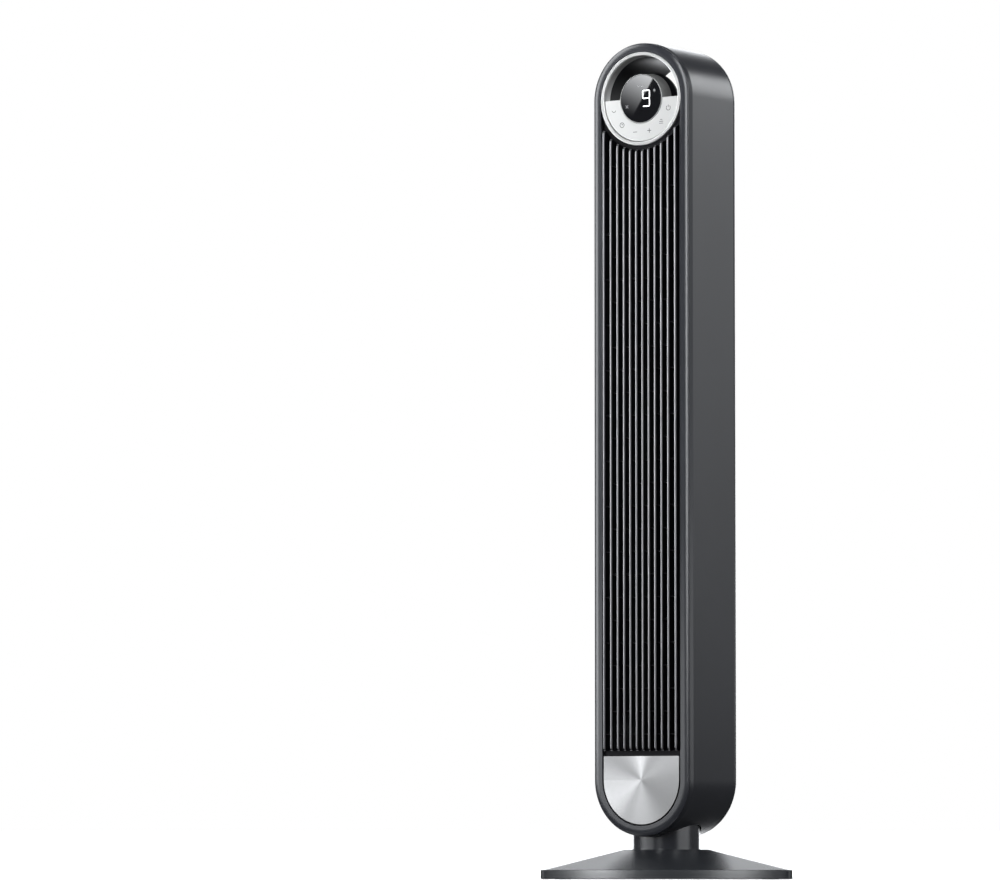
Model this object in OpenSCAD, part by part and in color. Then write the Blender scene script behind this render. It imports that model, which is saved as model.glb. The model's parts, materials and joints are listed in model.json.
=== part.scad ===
// Floor-standing tower fan: a cross-flow blower in a slim stadium-shaped tower that swings
// on a square weighted base. The rest pose stands on the floor at z = 0, base front along -Y.
// Tower pieces are drawn square to the axes and then turned about the swing axis by `turn`.

/* [Overall] */
// Height of the whole fan above the floor
total_h = 1066; // [900:1:1200]
// Rest position of the tower about the swing axis, in degrees
turn = -32; // [-45:1:45]

/* [Tower] */
// Width of the tower; its ends are half circles of this diameter
tower_w = 144; // [140:1:150]
// Swing axis to the flat front of the bezel
front_y = 60; // [58:0.5:62]
// Swing axis to the back of the rear cover
back_y = 57; // [56:0.5:62]
// Lowest point of the tower above the floor
tower_z = 53; // [52:0.5:56]
// Wall of the moulded shells
wall = 2.5; // [2:0.1:3]
// Half width of the hole in the front bezel
bezel_in = 58.2; // [56:0.1:59]

/* [Dial and handle] */
// Outer radius of the silver ring
ring_r = 60.1; // [58:0.1:61]
// Radius of the open hand hole
hand_r = 54.8; // [52:0.1:56]
// Front radius of the display pod
pod_r = 31.2; // [28:0.1:33]
// Widest radius of the display pod
pod_flare_r = 35.7; // [34:0.1:37]

/* [Grille] */
// Number of front slats
slat_n = 12; // [10:2:14]
// Width of one slat
slat_w = 1.8; // [1.4:0.1:2.4]
// Height of the slat feet above the floor
slat_z = 163; // [160:1:170]
// Height of the lowest row of ribs
rib_z = 183; // [175:1:190]
// Number of rib rows
rib_rows = 26; // [20:1:26]
// Distance between rib rows
rib_pitch = 29.05; // [28:0.05:29.05]

/* [Base] */
// Side of the square base
base_w = 315; // [300:1:330]
// Height of the upright rim
rim_h = 12; // [11:0.5:14]
// Height of the flat top around the neck
deck_z = 37; // [35:0.5:38]
// Side of the flat top
deck_w = 108; // [104:1:116]
// Outer diameter of the neck
neck_d = 85.5; // [84:0.1:86]

/* [Blower] */
// Outer radius of the cross-flow impeller
impeller_r = 42; // [40:0.5:43]
// Number of impeller blades
blade_n = 28; // [20:1:32]
// Lower end of the blower
blower_z0 = 215; // [210:1:225]
// Upper end of the blower
blower_z1 = 893; // [860:1:900]
// Width of the intake window in the rear cover
intake_w = 104; // [90:1:108]
// Upright bars in the intake grille
intake_bars = 14; // [8:1:18]

/* [Swing drive] */
// Teeth of the fixed internal ring gear
ring_teeth = 72; // [72:1:72]
// Teeth of the motor pinion
pinion_teeth = 12; // [12:1:12]
// Gear module
gear_m = 1; // [1:0.1:1]
// Angle of play on each tooth side at the pinion, in degrees
gear_play = 1.0; // [0.6:0.1:1.4]

/* [Hidden] */
end_r = tower_w / 2;
top_c = total_h - end_r;
low_c = tower_z + end_r;
plate_r = 56.5;
plate_top = 155.5;
arc_r = 66.5;
seam_front = front_y - 2.6;
seam_back = 7;
neck_r = neck_d / 2;
neck_top = 68.5;
journal_r = 12;
fit = 0.08;
gap = 0.3;
table_z = 70;
impeller_y = 4;
pinion_r = (ring_teeth - pinion_teeth) * gear_m / 2;
screw_x = 58;
screw_z = [190, 918];
foot_screw = [20, 82];
neck_screw_r = 47.5;
$fn = 96;

// ---- shared shapes -------------------------------------------------------------------

// Flat outline of the tower seen from the front: x across, y up.
module stadium(r) {
    translate([0, top_c]) circle(r);
    translate([0, low_c]) circle(r);
    translate([-r, low_c]) square([2 * r, top_c - low_c]);
}

// Extrudes an outline drawn from the front (x, z) between two depths.
module slab(y0, y1) {
    translate([0, y1, 0]) rotate([90, 0, 0]) linear_extrude(y1 - y0) children();
}

// Carries a section along the stadium: section x is outward, section y is forward.
module along_stadium() {
    translate([0, 0, top_c]) rotate([90, 0, 0]) rotate_extrude(angle = 180) children();
    translate([0, 0, low_c]) rotate([90, 0, 0]) rotate([0, 0, 180])
        rotate_extrude(angle = 180) children();
    for (side = [0, 1]) mirror([side, 0, 0]) translate([0, 0, low_c])
        linear_extrude(top_c - low_c) mirror([0, 1]) children();
}

// Turns a ring section (x outward, y forward) about the dial axis.
module round_dial() {
    translate([0, 0, top_c]) rotate([90, 0, 0]) rotate_extrude() children();
}

module tower() { rotate([0, 0, turn]) children(); }

function polar(r, a) = [r * cos(a), r * sin(a)];
function involute(rb, r) = tan(acos(rb / r)) * 180 / PI - acos(rb / r);
function flank(rp, half, r) =
    half + involute(rp * cos(20), rp) - involute(rp * cos(20), max(r, rp * cos(20)));

// One involute tooth (or tooth space) standing on +X, from radius r0 to r1.
module tooth(rp, half, r0, r1) {
    steps = 4;
    radii = [for (i = [0:steps]) r0 + (r1 - r0) * i / steps];
    polygon(concat(
        [for (r = radii) polar(r, -flank(rp, half, r))],
        [for (i = [steps:-1:0]) polar(radii[i], flank(rp, half, radii[i]))]));
}

// ---- base ----------------------------------------------------------------------------

// Pyramid roof over a rounded square, shrunk inward by `inset`.
module base_solid(inset) {
    w = base_w / 2 - inset;
    d = deck_w / 2 - inset * 0.5;
    roof = [[-w, -1], [w, -1], [w, rim_h - inset], [d, deck_z - inset],
        [-d, deck_z - inset], [-w, rim_h - inset]];
    corner = 8 - inset;
    intersection() {
        rotate([90, 0, 0]) linear_extrude(base_w + 2, center = true) polygon(roof);
        rotate([90, 0, 90]) linear_extrude(base_w + 2, center = true) polygon(roof);
        translate([0, 0, 2]) linear_extrude(deck_z) union() {
            square([2 * w, 2 * (w - corner)], center = true);
            square([2 * (w - corner), 2 * w], center = true);
            for (x = [-1, 1], y = [-1, 1]) translate([x, y] * (w - corner)) circle(corner);
        }
    }
}

module base_cover() {
    color("dimgray") difference() {
        union() {
            difference() {
                base_solid(0);
                translate([0, 0, -0.01]) base_solid(wall);
            }
            for (a = [45:90:315]) translate(concat(polar(120, a), [4.7])) cylinder(r = 5, h = 22);
        }
        cylinder(r = neck_r + 0.15, h = deck_z + 1);
        for (a = [45:90:315]) translate(concat(polar(120, a), [4])) cylinder(r = 2.05, h = 8);
        for (a = [0:90:270]) translate(concat(polar(neck_screw_r, a), [30])) cylinder(r = 2.05, h = 6.2);
    }
}

module base_plate() {
    w = base_w - 2 * wall - 0.6;
    color("black") translate([0, 0, 2]) linear_extrude(2.5) difference() {
        square([w, w], center = true);
        for (x = [-1, 1], y = [-1, 1])
            translate([x, y] * (w / 2)) rotate(45) square(8, center = true);
        for (a = [45:90:315]) translate(polar(120, a)) circle(2.2);
    }
}

module base_weight() {
    color("silver") translate([0, 0, 4.6]) linear_extrude(7) difference() {
        circle(112);
        circle(58);
    }
}

module rubber_feet() {
    color("black") for (x = [-1, 1], y = [-1, 1])
        translate([x * 130, y * 130, 0]) cylinder(r = 11, h = 2);
}

module base_screws() {
    color("silver") for (a = [45:90:315]) translate(concat(polar(120, a), [0.5])) {
        cylinder(r = 4, h = 1.4);
        cylinder(r = 2, h = 9);
    }
}

module neck_screws() {
    color("silver") for (a = [0:90:270]) translate(concat(polar(neck_screw_r, a), [29])) {
        cylinder(r = 3.8, h = 1.95);
        cylinder(r = 2, h = 7);
    }
}

// Fixed neck: outer tube, foot flange under the deck, gear floor and journal boss.
module neck() {
    floor_z = 58;
    color("dimgray") difference() {
        rotate_extrude() difference() {
            polygon([[journal_r, 40], [17, 40], [17, floor_z], [neck_r - 3.25, floor_z],
                [neck_r - 3.25, 31], [52, 31], [52, deck_z - wall - 0.1],
                [neck_r, deck_z - wall - 0.1], [neck_r, neck_top], [neck_r - 3.25, neck_top],
                [neck_r - 3.25, floor_z + 3], [journal_r, floor_z + 3]]);
            translate([16, floor_z + 3]) circle(1);
        }
        for (a = [0:90:270])
            translate(concat(polar(neck_screw_r, a), [30])) cylinder(r = 2.1, h = 6);
    }
}

module ring_gear() {
    rp = ring_teeth * gear_m / 2;
    tip_r = rp - 0.8 * gear_m;
    root_r = rp + 1.15 * gear_m;
    half = 90 / ring_teeth;
    color("ivory") rotate([0, 0, 90 + turn]) translate([0, 0, 61.05]) linear_extrude(7)
        difference() {
            circle(neck_r - 3.3);
            circle(tip_r, $fn = 144);
            for (i = [0:ring_teeth - 1]) rotate(i * 360 / ring_teeth)
                tooth(rp, half, tip_r - 0.5, root_r);
        }
}

module bearing_cage() {
    color("orange") difference() {
        translate([0, 0, 62.6]) difference() {
            cylinder(r = 19.5, h = 1.4);
            translate([0, 0, -1]) cylinder(r = 12.8, h = 4);
        }
        for (a = [0:45:315]) translate(concat(polar(16, a), [60])) cylinder(r = 1.9, h = 6);
    }
}

module bearing_balls() {
    color("silver") for (a = [0:45:315])
        translate(concat(polar(16, a), [63.2])) sphere(r = 1.8, $fn = 24);
}

// ---- swing drive, carried by the tower -------------------------------------------------

module turntable() {
    motor_at = [0, pinion_r, 0];
    color("gray") tower() difference() {
        union() {
            translate([0, 0, table_z]) cylinder(r = 42, h = 4);
            translate([-38, -50, table_z]) cube([76, 98, 4]);
            translate([0, 0, 65.3]) cylinder(r = 20.5, h = 6);
            translate([0, 0, 36]) cylinder(r = journal_r - fit, h = 36);
            for (x = [-1, 1]) translate([x * foot_screw[0] - 5, 44.5, table_z]) cube([10, 5, 18]);
        }
        for (x = [-1, 1]) translate([x * foot_screw[0], 60, foot_screw[1]])
            rotate([90, 0, 0]) cylinder(r = 2.05, h = 20);
        translate([0, 0, 30]) cylinder(r = 8, h = 50);
        translate(motor_at) translate([0, 0, 60]) cylinder(r = 8.2, h = 20);
    }
}

module retaining_ring() {
    color("silver") tower() translate([0, 0, 36]) difference() {
        cylinder(r = 16, h = 3.6);
        translate([0, 0, -1]) cylinder(r = journal_r - fit + 0.01, h = 6);
    }
}

module swing_motor() {
    color("silver") tower() translate([0, pinion_r, 0]) difference() {
        union() {
            translate([0, 0, table_z + 4]) cylinder(r = 14, h = 19);
            translate([-17.5, -3.5, table_z + 4]) cube([35, 7, 1]);
            translate([0, 0, table_z + 0.5]) cylinder(r = 4.5, h = 4);
        }
        translate([0, 0, 60]) cylinder(r = 2.55, h = 30);
    }
}

module drive_pinion() {
    rp = pinion_teeth * gear_m / 2;
    root_r = rp - 1.0 * gear_m;
    half = 90 / pinion_teeth - gear_play;
    color("ivory") tower() translate([0, pinion_r, 0]) {
        translate([0, 0, 61.8]) linear_extrude(5.8) rotate(90) union() {
            circle(root_r);
            for (i = [0:pinion_teeth - 1]) rotate(i * 360 / pinion_teeth)
                tooth(rp, half, root_r - 0.3, rp + 0.8 * gear_m);
        }
        translate([0, 0, 65]) cylinder(r = 2.5, h = 18);
    }
}

// ---- tower shells ----------------------------------------------------------------------

module hand_hole(r, drop, y0, y1) {
    slab(y0, y1) intersection() {
        translate([0, top_c]) circle(r);
        translate([-r, top_c - drop]) square([2 * r, r + drop]);
    }
}

module main_housing() {
    color("slategray") tower() difference() {
        along_stadium() translate([end_r - wall, -(back_y - seam_back)])
            square([wall, back_y - seam_back + seam_front - 0.15]);
        translate([0, 0, 40]) cylinder(r = neck_r + 1.75, h = 40);
    }
}

// Screws through the rear cover, heads outside: four into the decks, two into the turntable.
module rear_screw_places() {
    for (x = [-1, 1], z = screw_z)
        translate([x * screw_x, back_y + 1.25, z]) rotate([90, 0, 0]) children();
    for (x = [-1, 1])
        translate([x * foot_screw[0], back_y + 1.25, foot_screw[1]]) rotate([90, 0, 0]) children();
}

module rear_cover() {
    y1 = back_y;
    y0 = back_y - seam_back + 0.1;
    color("slategray") tower() difference() {
        union() {
            along_stadium() polygon([[end_r - wall, -y0], [end_r, -y0], [end_r, -(y1 - 5)],
                [end_r - 1.5, -(y1 - 1.5)], [end_r - 5, -y1], [end_r - 7, -y1],
                [end_r - 7, -(y1 - wall)], [end_r - wall - 1, -(y1 - 4)]]);
            slab(y1 - wall, y1) difference() {
                stadium(end_r - 6.5);
                translate([-intake_w / 2, blower_z0]) square([intake_w, blower_z1 - blower_z0]);
            }
        }
        hand_hole(hand_r + 2, 2.2, y0 - 1, y1 + 1);
        rear_screw_places() cylinder(r = 2.1, h = 20);
        translate([0, y1 + 1, 100]) rotate([90, 0, 0]) cylinder(r = 6, h = 20);
        translate([0, 0, 40]) cylinder(r = neck_r + 1.75, h = 28);
    }
}

// Clip-in intake grille: a border, upright bars and cross ribs.
module rear_grille() {
    w = intake_w - 0.2;
    h = blower_z1 - blower_z0 - 0.2;
    rib_step = h / 12;
    color("black") tower() slab(back_y - wall, back_y) translate([-w / 2, blower_z0 + 0.1]) {
        difference() {
            square([w, h]);
            translate([2.5, 2.5]) square([w - 5, h - 5]);
        }
        for (i = [1:intake_bars]) translate([i * w / (intake_bars + 1) - 0.9, 0]) square([1.8, h]);
        for (i = [1:11]) translate([0, i * rib_step - 1]) square([w, 2]);
    }
}

module rear_screws() {
    color("silver") tower() rear_screw_places() {
        cylinder(r = 3.6, h = 1.2);
        cylinder(r = 2, h = 13);
    }
}

module cord_gland() {
    color("black") tower() translate([0, back_y + 3, 100]) rotate([90, 0, 0]) difference() {
        union() {
            cylinder(r = 8, h = 2.9);
            cylinder(r = 5.9, h = 12);
        }
        translate([0, 0, -1]) cylinder(r = 3.2, h = 14);
    }
}

module front_bezel() {
    skirt_y = 44;
    color("darkslategray") tower() difference() {
        along_stadium() polygon([[bezel_in, front_y], [end_r - 3, front_y],
            [end_r - 0.9, front_y - 0.9], [end_r, seam_front], [end_r - wall - 0.1, seam_front],
            [end_r - wall - 0.1, skirt_y], [end_r - wall - 2.1, skirt_y],
            [end_r - wall - 2.1, front_y - 2.5], [bezel_in, front_y - 2.5]]);
        slab(-front_y - 1, -skirt_y + 1) translate([0, top_c]) circle(ring_r + 0.2);
        translate([0, 0, 40]) cylinder(r = neck_r + 1.75, h = 28);
    }
}

function slat_x(i) = 124.7 * tan((i - (slat_n - 1) / 2) * 4.23);
function slat_top(x) = top_c - sqrt(arc_r * arc_r - x * x);

module front_grille() {
    face_y = -front_y + 4;
    color("black") tower() {
        slab(face_y, face_y + 3) difference() {
            stadium(bezel_in - 0.2);
            difference() {
                translate([-56.2, slat_z]) square([112.4, top_c - slat_z]);
                translate([0, top_c]) circle(arc_r);
            }
            translate([0, top_c]) circle(ring_r - 2.8);
            translate([-end_r, top_c]) square([tower_w, end_r]);
        }
        for (i = [0:slat_n - 1])
            translate([slat_x(i) - slat_w / 2, -front_y - 4.4, slat_z - 1])
                cube([slat_w, 15, slat_top(slat_x(i)) - slat_z + 1]);
        for (row = [0:rib_rows - 1], i = [row % 2:2:slat_n - 2]) {
            z = rib_z + row * rib_pitch;
            reach = max(abs(slat_x(i)), abs(slat_x(i + 1)));
            if (z < slat_top(reach) - 2)
                translate([slat_x(i), -front_y - 1, z - 0.8])
                    cube([slat_x(i + 1) - slat_x(i), 8, 1.6]);
        }
    }
}

module trim_plate() {
    color("gainsboro") tower() slab(-front_y, -front_y + 2) intersection() {
        union() {
            translate([0, low_c]) circle(plate_r);
            translate([-plate_r, low_c]) square([2 * plate_r, plate_r]);
        }
        translate([-plate_r, low_c - plate_r]) square([2 * plate_r, plate_top - low_c + plate_r]);
    }
}

// ---- dial, handle and display ----------------------------------------------------------

module dial_ring() {
    color("silver") tower() round_dial() polygon([[hand_r, front_y - 1.2],
        [hand_r + 0.6, front_y - 0.6], [ring_r - 0.5, front_y - 0.6], [ring_r, front_y - 1.2],
        [ring_r, front_y - 3.9], [57, front_y - 3.9], [57, front_y - 14.5],
        [hand_r, front_y - 14.5]]);
}

// Roof and floor of the hand hole. A shelf in front covers the works below the floor.
module handle_liner() {
    y0 = -front_y + 14.6;
    y1 = back_y - 0.2;
    liner_r = hand_r + 1.8;
    shelf_y = -front_y + 4.3;
    shelf_x = hand_r - 0.3;
    color("black") tower() difference() {
        union() {
            difference() {
                hand_hole(liner_r, 2, y0, y1);
                hand_hole(hand_r, 0, y0 - 1, y1 + 1);
            }
            translate([-shelf_x, shelf_y, top_c - 2])
                cube([2 * shelf_x, y0 + 1 - shelf_y, 2]);
        }
        translate([0, -6, top_c]) rotate([90, 0, 0]) cylinder(r = pod_flare_r + gap, h = 60);
    }
}

// Flared pod: silver-grey cone in front, dark dome behind, hollow for the display.
module display_housing() {
    f = front_y - 1.5;
    color("gray") tower() round_dial() polygon([[pod_r, f], [pod_flare_r, f - 29],
        [pod_flare_r - 0.8, f - 34], [pod_flare_r - 3.2, f - 40], [25, f - 47], [0, f - 48.5],
        [0, f - 46.5], [24, f - 45], [pod_flare_r - 5, f - 38.5], [pod_flare_r - 2, f - 29],
        [pod_r - 1.2, f - 4], [pod_r - 3, f - 4], [pod_r - 3, f - 2.3], [pod_r - 0.7, f - 2.3],
        [pod_r - 0.7, f]]);
}

module display_lens() {
    color("black") tower() round_dial()
        translate([0, front_y - 3.7]) square([pod_r - 0.8, 2]);
}

module display_board() {
    color("green") tower() round_dial()
        translate([0, front_y - 9.5]) square([pod_r - 3.5, 1.6]);
}

// Lower half of a flat ring about the dial's centre, cut off level drop below it.
module half_ring(r0, r1, y0, y1, drop = 0) {
    slab(y0, y1) intersection() {
        difference() {
            translate([0, top_c]) circle(r1);
            translate([0, top_c]) circle(r0);
        }
        translate([-r1, top_c - r1]) square([2 * r1, r1 - drop]);
    }
}

module touch_panel() {
    color("silver") tower()
        half_ring(pod_r + 0.8, hand_r - 0.2, -front_y + 2.2, -front_y + 4.2);
}

module touch_board() {
    color("green") tower()
        half_ring(pod_flare_r + 1, hand_r - 2, -front_y + 6, -front_y + 7.6, 2.4);
}

// ---- blower ----------------------------------------------------------------------------

// Cross plate with a pair of screw tabs for the rear cover and a notch for the cable.
module deck_plate(z, tab_z) {
    difference() {
        union() {
            translate([-64, -44, z]) cube([128, 92, 3]);
            for (x = [-1, 1]) translate([x * screw_x - 5.5, 40, min(z, tab_z - 6)])
                cube([11, 8, abs(tab_z - z) + 9]);
        }
        for (x = [-1, 1]) translate([x * screw_x, 60, tab_z])
            rotate([90, 0, 0]) cylinder(r = 2.05, h = 25);
        translate([60.5, 18, z - 1]) cube([5, 16, 5]);
    }
}

module motor_deck() {
    color("gray") tower() difference() {
        deck_plate(203, screw_z[0]);
        translate([0, impeller_y, 200]) cylinder(r = 12, h = 10);
    }
}

module fan_motor() {
    color("silver") tower() translate([0, impeller_y, 0]) difference() {
        union() {
            translate([0, 0, 158]) cylinder(r = 38, h = 44.9);
            translate([0, 0, 150]) cylinder(r = 14, h = 9);
            translate([0, 0, 202]) cylinder(r = 11.7, h = 7);
        }
        translate([0, 0, 140]) cylinder(r = 4 + fit, h = 80);
    }
}

module drive_shaft() {
    color("silver") tower() translate([0, impeller_y, 152]) cylinder(r = 4, h = 80);
}

module impeller() {
    h = blower_z1 - blower_z0;
    color("dimgray") tower() translate([0, impeller_y, blower_z0]) {
        rotate_extrude() polygon([[4.02, 0], [impeller_r, 0], [impeller_r, 3], [9, 3], [9, 20], [4.02, 20]]);
        translate([0, 0, h]) rotate_extrude()
            polygon([[3.02, 0], [impeller_r, 0], [impeller_r, -3], [8, -3], [8, -20], [3.02, -20]]);
        for (k = [1:5]) translate([0, 0, k * h / 6 - 0.8]) linear_extrude(1.6) difference() {
            circle(impeller_r);
            circle(impeller_r - 9);
        }
        translate([0, 0, 1]) linear_extrude(h - 2) for (i = [0:blade_n - 1])
            rotate(i * 360 / blade_n) translate([impeller_r - 5, 0]) rotate(35)
                square([8.5, 0.9], center = true);
    }
}

module top_axle() {
    color("silver") tower() translate([0, impeller_y, blower_z1 - 18]) cylinder(r = 3, h = 36);
}

module upper_deck() {
    color("gray") tower() difference() {
        deck_plate(901, screw_z[1]);
        translate([0, impeller_y, 890]) cylinder(r = 7.1, h = 30);
    }
}

module top_bush() {
    color("black") tower() translate([0, impeller_y, 898]) difference() {
        union() {
            cylinder(r = 7, h = 12);
            cylinder(r = 10, h = 2.9);
        }
        translate([0, 0, -1]) cylinder(r = 3 + fit, h = 20);
    }
}

// Curved back wall of the air channel, from the intake side round to the outlet.
module scroll_wall() {
    r = impeller_r + 4;
    color("gray") tower() translate([0, 0, 206.2]) linear_extrude(694.6) {
        intersection() {
            translate([0, impeller_y]) difference() {
                circle(r + 2);
                circle(r);
            }
            polygon([[0, impeller_y], [-80, impeller_y + 51], [-80, impeller_y - 50]]);
        }
        translate([-52, -46]) square([2, 26]);
        translate([-52, -21.5]) square([13, 2]);
    }
}

// Tongue that closes the gap on the other side of the impeller.
module cutoff_wall() {
    color("gray") tower() translate([0, 0, 206.2]) linear_extrude(694.6) {
        translate([50, -46]) square([2, 30]);
        translate([43, -18]) square([9, 2]);
    }
}

module main_board() {
    color("green") tower() {
        translate([-44, -46, 92]) cube([88, 1.6, 54]);
        for (c = [[-30, 100, 14, 18, 16], [-6, 104, 18, 14, 14], [22, 98, 12, 20, 30]])
            translate([c[0], -44.5, c[1]]) cube([c[2], c[3], c[4]]);
    }
}

module board_cable() {
    color("ivory") tower() translate([62, 20, 112]) cube([1.2, 12, 876]);
}

base_cover();
base_plate();
base_weight();
rubber_feet();
base_screws();
neck();
neck_screws();
ring_gear();
bearing_cage();
bearing_balls();
turntable();
retaining_ring();
swing_motor();
drive_pinion();
main_housing();
rear_cover();
rear_grille();
rear_screws();
cord_gland();
front_bezel();
front_grille();
trim_plate();
dial_ring();
handle_liner();
display_housing();
display_lens();
display_board();
touch_panel();
touch_board();
motor_deck();
fan_motor();
drive_shaft();
impeller();
top_axle();
upper_deck();
top_bush();
scroll_wall();
cutoff_wall();
main_board();
board_cable();
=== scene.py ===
import bpy
import bmesh
import json
import math
import numpy as np
from mathutils import Matrix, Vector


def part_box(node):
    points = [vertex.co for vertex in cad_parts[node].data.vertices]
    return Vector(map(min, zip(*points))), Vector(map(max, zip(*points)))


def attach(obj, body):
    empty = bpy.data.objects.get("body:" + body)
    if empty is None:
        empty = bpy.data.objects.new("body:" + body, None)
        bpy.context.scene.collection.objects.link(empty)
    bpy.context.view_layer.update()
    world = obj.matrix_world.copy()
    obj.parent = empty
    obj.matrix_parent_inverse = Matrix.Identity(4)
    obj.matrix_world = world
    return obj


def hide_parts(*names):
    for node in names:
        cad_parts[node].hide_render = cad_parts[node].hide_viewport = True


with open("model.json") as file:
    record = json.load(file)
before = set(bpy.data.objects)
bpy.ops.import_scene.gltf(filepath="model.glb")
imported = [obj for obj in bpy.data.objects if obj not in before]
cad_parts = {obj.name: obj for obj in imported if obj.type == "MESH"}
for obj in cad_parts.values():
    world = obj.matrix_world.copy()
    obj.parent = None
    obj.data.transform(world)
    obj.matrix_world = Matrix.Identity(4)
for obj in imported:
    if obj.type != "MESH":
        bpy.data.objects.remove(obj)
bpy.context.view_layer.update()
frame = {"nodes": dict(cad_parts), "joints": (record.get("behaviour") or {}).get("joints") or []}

# ---- camera --------------------------------------------------------------------------
# A long lens 7.7 m in front of the base, a hand's width above the floor, tipped up a
# little. The base is seen square on, so the tower's own turn shows its right flank.
LENS_MM, SENSOR_MM = 217.2, 36.0
CAMERA_AT = (0.0, -7.716, 0.0752)
TIP_UP_DEG, PAN_DEG = 3.564, 1.576
camera_data = bpy.data.cameras.new("studio_camera")
camera_data.lens, camera_data.sensor_width = LENS_MM, SENSOR_MM
camera_data.clip_end = 60.0
camera = bpy.data.objects.new("studio_camera", camera_data)
camera.location = CAMERA_AT
camera.rotation_euler = (math.radians(90.0 + TIP_UP_DEG), 0.0, math.radians(PAN_DEG))
bpy.context.scene.collection.objects.link(camera)
bpy.context.scene.camera = camera

# ---- studio --------------------------------------------------------------------------
# A white backdrop and floor in a dim room. Soft boxes round the fan draw its highlights,
# and some are graded from foot to top. The two at the rim and the one for the lens come
# further down, with the pieces they light.
scene = bpy.context.scene
scene.view_settings.view_transform = "Standard"
scene.view_settings.look = "None"


def feed(tree, node, inputs):
    """Fills a node's inputs: another node's output is linked, and anything else is set as
    a constant."""
    for socket, value in inputs.items():
        if isinstance(value, bpy.types.NodeSocket):
            tree.links.new(value, node.inputs[socket])
        else:
            node.inputs[socket].default_value = value
    return node


def add_node(tree, kind, inputs, **settings):
    """Adds a shader node, gives it its settings and then fills its inputs."""
    node = tree.nodes.new("ShaderNode" + kind)
    for setting, value in settings.items():
        setattr(node, setting, value)
    return feed(tree, node, inputs)


def add_ramp(tree, factor, stops):
    """Adds a colour ramp from (position, colour) stops in rising order."""
    ramp = add_node(tree, "ValToRGB", {"Fac": factor})
    while len(ramp.color_ramp.elements) < len(stops):
        ramp.color_ramp.elements.new(0.5)
    for stop, (position, colour) in zip(ramp.color_ramp.elements, stops):
        stop.position, stop.color = position, (*colour, 1.0)
    return ramp


def dim_room(name, dim, backdrop):
    """Pure white behind the object. For light and reflections the room is dim, and paler
    by a smooth step towards the low back, where the white backdrop stands."""
    room = bpy.data.worlds.new(name)
    room.use_nodes = True
    tree = room.node_tree
    place = add_node(tree, "TexCoord", {})
    axes = add_node(tree, "SeparateXYZ", {"Vector": place.outputs["Generated"]})
    back = add_node(tree, "MapRange", {"Value": axes.outputs["Y"], "From Min": 0.84,
                                       "From Max": 0.96}, interpolation_type="SMOOTHSTEP")
    low = add_node(tree, "MapRange", {"Value": axes.outputs["Z"], "From Min": 0.48,
                                      "From Max": 0.72, "To Min": 1.0, "To Max": 0.0},
                   interpolation_type="SMOOTHSTEP")
    pale = add_node(tree, "Math", {0: back.outputs["Result"], 1: low.outputs["Result"]},
                    operation="MULTIPLY")
    level = add_node(tree, "Math", {0: pale.outputs["Value"], 1: backdrop - dim, 2: dim},
                     operation="MULTIPLY_ADD")
    around = feed(tree, tree.nodes["Background"], {"Color": (0.95, 0.97, 1.0, 1.0),
                                                   "Strength": level.outputs["Value"]})
    white = add_node(tree, "Background", {"Color": (1.0, 1.0, 1.0, 1.0)})
    ray = add_node(tree, "LightPath", {})
    mix = add_node(tree, "MixShader", {"Fac": ray.outputs["Is Camera Ray"],
                                       1: around.outputs["Background"],
                                       2: white.outputs["Background"]})
    feed(tree, tree.nodes["World Output"], {"Surface": mix.outputs["Shader"]})
    return room


scene.world = dim_room("dim_room", 0.07, 4.3)


def soft_box(name, place, target, size, brightness, top=(0.0, 0.0, 1.0)):
    """A rectangular area light at place, looking at target with its height towards top, and
    hidden from the camera. Its power is brightness x pi x area, so brightness is what a
    mirror would show of it."""
    data = bpy.data.lights.new(name, "AREA")
    data.shape, data.size, data.size_y = "RECTANGLE", size[0], size[1]
    data.energy, data.color = brightness * math.pi * size[0] * size[1], (0.96, 0.98, 1.0)
    lamp = bpy.data.objects.new(name, data)
    away = np.array(place, float) - np.array(target, float)
    away /= np.linalg.norm(away)
    level = np.cross(top, away)
    level /= np.linalg.norm(level)
    upward = np.cross(away, level)
    lamp.matrix_world = Matrix([[level[i], upward[i], away[i], place[i]] for i in range(3)]
                               + [[0.0, 0.0, 0.0, 1.0]])
    lamp.visible_camera = False
    scene.collection.objects.link(lamp)
    return lamp


def fade(lamp, low, high, dimmest=0.0, shape="LINEAR"):
    """Grades a soft box over its height, which runs from 0 at its foot to 1 at its top: the
    brightness factor climbs from dimmest at low to 1 at high."""
    lamp.data.use_nodes = True
    tree = lamp.data.node_tree
    face = add_node(tree, "NewGeometry", {})
    split = add_node(tree, "SeparateXYZ", {"Vector": face.outputs["Parametric"]})
    level = add_node(tree, "MapRange", {"Value": split.outputs["Y"], "From Min": low,
                                        "From Max": high, "To Min": dimmest},
                     interpolation_type=shape)
    feed(tree, tree.nodes["Emission"], {"Strength": level.outputs["Result"]})


flank_box = soft_box("flank_box", (1.62, 0.50, 1.0), (0.0, 0.0, 1.0), (1.4, 2.0), 2.15)
fade(flank_box, 0.0, 1.0, 0.04)
soft_box("crown_box", (1.51, 0.98, 1.66), (0.0, 0.0, 1.0), (0.55, 0.66), 3.8)
soft_box("left_strip", (-1.55, -0.08, 1.15), (0.0, 0.0, 0.8), (0.7, 2.1), 8.5)
soft_box("front_strip", (-0.80, -1.78, 1.29), (0.0, 0.0, 0.8), (0.34, 2.02), 17.0)
soft_box("dial_box", (1.10, -1.60, 1.55), (0.0, 0.0, 1.0), (0.6, 0.9), 9.0)
soft_box("plate_box", (-1.35, -0.66, 0.19), (0.0, 0.0, 0.08), (1.0, 0.34), 3.6)
soft_box("neck_box", (1.33, -0.71, 0.26), (0.0, 0.0, 0.08), (1.3, 0.5), 3.4)
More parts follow.
